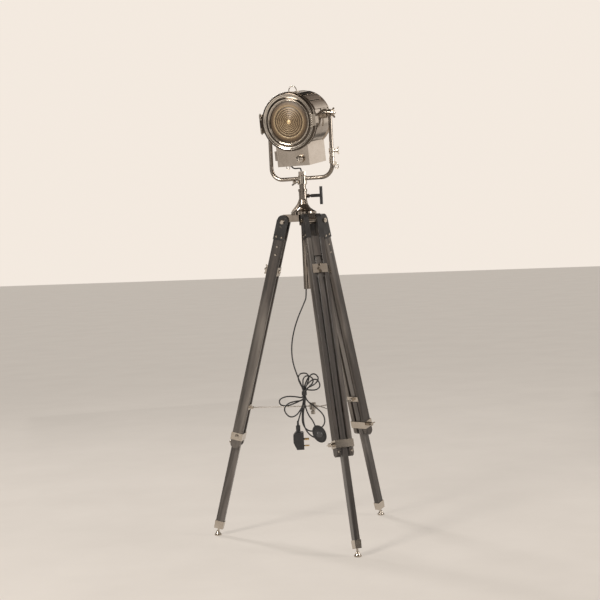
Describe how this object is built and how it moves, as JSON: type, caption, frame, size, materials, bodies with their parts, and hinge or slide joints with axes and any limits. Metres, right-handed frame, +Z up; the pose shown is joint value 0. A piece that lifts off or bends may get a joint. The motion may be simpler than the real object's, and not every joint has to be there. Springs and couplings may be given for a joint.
{
  "type": "tripod spotlight floor lamp",
  "caption": "Spotlight floor lamp: a metal drum head with a hinged stepped lens in a tilting yoke, on a wooden tripod with sliding legs and a level spreader.",
  "frame": {"origin": "on the floor, at the centre of the box round the three feet and the head, without the mains lead", "axes": "+Z up; the lens faces -Y; +X is to the right of someone who faces the lens"},
  "size_m": [0.6643, 0.6674, 1.6333],
  "materials": {
    "black_paint": "satin",
    "black_plastic": "satin",
    "bronze_glass": "clear",
    "bulb_glass": "frosted",
    "button_plastic": "gloss",
    "cord_black": "matt",
    "dark_wood": "oiled",
    "drum_metal": "polished",
    "mirror_dish": "polished",
    "nickel": "polished",
    "plank_wood": "satin",
    "rod_metal": "satin"
  },
  "bodies": {
    "stand": {"crown": "nickel", "leg_pivot_bolts": "nickel", "cord_hank": "cord_black", "cord_tail": "cord_black", "hank_tie": "black_plastic", "mains_plug": "black_plastic", "foot_switch": "black_plastic"},
    "leg_1": {"leg_1_rails": "dark_wood", "leg_1_hinge_ears": "black_paint", "leg_1_fittings": "nickel", "leg_1_clamp": "nickel"},
    "leg_1_extension": {"leg_1_plank": "plank_wood", "leg_1_foot": "nickel"},
    "leg_1_clamp_screw": {"leg_1_clamp_screw": "nickel"},
    "leg_1_guide_nut": {"leg_1_guide_nut": "nickel"},
    "spreader_rod_1": {"spreader_rod_1": "rod_metal"},
    "leg_2": {"leg_2_rails": "dark_wood", "leg_2_hinge_ears": "black_paint", "leg_2_fittings": "nickel", "leg_2_clamp": "nickel"},
    "leg_2_extension": {"leg_2_plank": "plank_wood", "leg_2_foot": "nickel"},
    "leg_2_clamp_screw": {"leg_2_clamp_screw": "nickel"},
    "leg_2_guide_nut": {"leg_2_guide_nut": "nickel"},
    "spreader_rod_2": {"spreader_rod_2": "rod_metal"},
    "leg_3": {"leg_3_rails": "dark_wood", "leg_3_hinge_ears": "black_paint", "leg_3_fittings": "nickel", "leg_3_clamp": "nickel"},
    "leg_3_extension": {"leg_3_plank": "plank_wood", "leg_3_foot": "nickel"},
    "leg_3_clamp_screw": {"leg_3_clamp_screw": "nickel"},
    "leg_3_guide_nut": {"leg_3_guide_nut": "nickel"},
    "spreader_rod_3": {"spreader_rod_3": "rod_metal"},
    "spreader_hub": {"spreader_hub": "nickel"},
    "clamp_handle": {"clamp_handle": "nickel"},
    "column": {"centre_post": "nickel"},
    "yoke": {"swivel_block": "nickel", "yoke": "nickel", "yoke_fittings": "nickel", "cord_lead": "cord_black"},
    "swivel_screw": {"swivel_screw": "nickel"},
    "yoke_screw": {"yoke_screw": "nickel"},
    "head": {"drum": "drum_metal", "vent_slats": "drum_metal", "back_cover": "drum_metal", "base_box": "drum_metal", "tilt_pivots": "nickel", "top_loop": "nickel", "head_fittings": "nickel"},
    "tilt_nut": {"tilt_nut": "nickel"},
    "door": {"door_ring": "nickel", "lens_frame": "nickel", "lens": "bronze_glass"},
    "door_catch": {"door_catch": "nickel"},
    "carriage": {"lamp_carriage": "nickel", "bulb": "bulb_glass", "reflector": "mirror_dish"},
    "focus_screw": {"focus_screw": "nickel"},
    "switch_button": {"switch_button": "button_plastic"}
  },
  "joints": [
    {"name": "leg_1_fold", "type": "hinge", "parent": "stand", "child": "leg_1", "pos_m": [-0.02181, -0.06638, 1.15], "axis": [0.2504, -0.9681, 0], "range_deg": [0, 13], "deforming": ["cord_hank", "cord_tail"]},
    {"name": "leg_1_extend", "type": "slide", "parent": "leg_1", "child": "leg_1_extension", "axis": [-0.2506, -0.0648, -0.9659], "range_m": [0, 0.42]},
    {"name": "leg_1_clamp_turn", "type": "hinge", "parent": "leg_1", "child": "leg_1_clamp_screw", "pos_m": [-0.23454, -0.07594, 0.37243], "axis": [-0.2504, 0.9681, 0], "range_deg": [0, 360]},
    {"name": "leg_1_guide_nut_turn", "type": "hinge", "parent": "leg_1_extension", "child": "leg_1_guide_nut", "pos_m": [-0.08892, -0.08373, 0.98015], "axis": [-0.9352, -0.2418, 0.2588], "range_deg": [0, 360]},
    {"name": "spreader_rod_1_hinge", "type": "hinge", "parent": "leg_1", "child": "spreader_rod_1", "pos_m": [-0.16902, -0.10445, 0.47433], "axis": [0.2504, -0.9681, 0], "range_deg": [-13, 0]},
    {"name": "leg_2_fold", "type": "hinge", "parent": "stand", "child": "leg_2", "pos_m": [0.10337, -0.10109, 1.15], "axis": [0.7133, 0.7009, 0], "range_deg": [0, 13]},
    {"name": "leg_2_extend", "type": "slide", "parent": "leg_2", "child": "leg_2_extension", "axis": [0.1814, -0.1846, -0.9659], "range_m": [0, 0.42]},
    {"name": "leg_2_clamp_turn", "type": "hinge", "parent": "leg_2", "child": "leg_2_clamp_screw", "pos_m": [0.21802, -0.28054, 0.37243], "axis": [-0.7133, -0.7009, 0], "range_deg": [0, 360]},
    {"name": "leg_2_guide_nut_turn", "type": "hinge", "parent": "leg_2_extension", "child": "leg_2_guide_nut", "pos_m": [0.15196, -0.15053, 0.98015], "axis": [0.677, -0.6889, 0.2588], "range_deg": [0, 360]},
    {"name": "spreader_rod_2_hinge", "type": "hinge", "parent": "leg_2", "child": "spreader_rod_2", "pos_m": [0.20873, -0.2083, 0.48083], "axis": [0.7133, 0.7009, 0], "range_deg": [-13, 0]},
    {"name": "leg_3_fold", "type": "hinge", "parent": "stand", "child": "leg_3", "pos_m": [0.07084, 0.02468, 1.15], "axis": [-0.9636, 0.2672, 0], "range_deg": [0, 13]},
    {"name": "leg_3_extend", "type": "slide", "parent": "leg_3", "child": "leg_3_extension", "axis": [0.0692, 0.2494, -0.9659], "range_m": [0, 0.42]},
    {"name": "leg_3_clamp_turn", "type": "hinge", "parent": "leg_3", "child": "leg_3_clamp_screw", "pos_m": [0.16892, 0.21369, 0.37243], "axis": [0.9636, -0.2672, 0], "range_deg": [0, 360]},
    {"name": "leg_3_guide_nut_turn", "type": "hinge", "parent": "leg_3_extension", "child": "leg_3_guide_nut", "pos_m": [0.08937, 0.09148, 0.98015], "axis": [0.2581, 0.9308, 0.2588], "range_deg": [0, 360]},
    {"name": "spreader_rod_3_hinge", "type": "hinge", "parent": "leg_3", "child": "spreader_rod_3", "pos_m": [0.11195, 0.17288, 0.46783], "axis": [-0.9636, 0.2672, 0], "range_deg": [-13, 0]},
    {"name": "spreader_hub_slide", "type": "slide", "parent": "spreader_rod_1", "child": "spreader_hub", "axis": [-0.9681, -0.2504, 0], "range_m": [0, 0.1564]},
    {"name": "clamp_handle_turn", "type": "hinge", "parent": "stand", "child": "clamp_handle", "pos_m": [0.0508, -0.0476, 1.24], "axis": [0.9063, 0.4226, 0], "range_deg": [0, 360]},
    {"name": "column_height", "type": "slide", "parent": "stand", "child": "column", "axis": [0, 0, 1], "range_m": [-0.012, 0.25]},
    {"name": "head_yaw", "type": "hinge", "parent": "column", "child": "yoke", "pos_m": [0.0508, -0.0476, 1.3035], "axis": [0, 0, 1], "range_deg": [-170, 170]},
    {"name": "swivel_screw_turn", "type": "hinge", "parent": "yoke", "child": "swivel_screw", "pos_m": [0.0508, -0.0476, 1.29], "axis": [-0.7071, -0.7071, 0], "range_deg": [0, 360]},
    {"name": "yoke_screw_turn", "type": "hinge", "parent": "yoke", "child": "yoke_screw", "pos_m": [0.1718, -0.0476, 1.395], "axis": [1, 0, 0], "range_deg": [0, 360]},
    {"name": "head_tilt", "type": "hinge", "parent": "yoke", "child": "head", "pos_m": [0.0508, -0.0476, 1.53], "axis": [1, 0, 0], "range_deg": [-50, 40], "deforming": ["cord_lead"]},
    {"name": "tilt_nut_turn", "type": "hinge", "parent": "head", "child": "tilt_nut", "pos_m": [0.1798, -0.0476, 1.53], "axis": [1, 0, 0], "range_deg": [0, 360]},
    {"name": "door_open", "type": "hinge", "parent": "head", "child": "door", "pos_m": [-0.0612, -0.13493, 1.50258], "axis": [0, 0.1392, -0.9903], "range_deg": [0, 110]},
    {"name": "door_catch_turn", "type": "hinge", "parent": "door", "child": "door_catch", "pos_m": [0.1408, -0.14721, 1.50085], "axis": [0, 0.1392, -0.9903], "range_deg": [0, 25]},
    {"name": "lamp_focus", "type": "slide", "parent": "head", "child": "carriage", "axis": [0, -0.9903, -0.1392], "range_m": [0, 0.04]},
    {"name": "focus_knob_turn", "type": "hinge", "parent": "head", "child": "focus_screw", "pos_m": [0.0808, -0.11697, 1.36979], "axis": [0, -0.9903, -0.1392], "range_deg": [0, 1800]},
    {"name": "switch_press", "type": "slide", "parent": "stand", "child": "switch_button", "axis": [-0.4226, 0.9063, 0], "range_m": [0, 0.003], "stiffness_N_per_m": 400}
  ],
  "couplings": [
    {"joint": "spreader_rod_1_hinge", "follows": "leg_1_fold", "ratio": -1},
    {"joint": "leg_2_fold", "follows": "leg_1_fold", "ratio": 1},
    {"joint": "spreader_rod_2_hinge", "follows": "leg_1_fold", "ratio": -1},
    {"joint": "leg_3_fold", "follows": "leg_1_fold", "ratio": 1},
    {"joint": "spreader_rod_3_hinge", "follows": "leg_1_fold", "ratio": -1},
    {"joint": "spreader_hub_slide", "follows": "leg_1_fold", "m_per_rad": 0.68706},
    {"joint": "focus_knob_turn", "follows": "lamp_focus", "rad_per_m": 785.4}
  ]
}
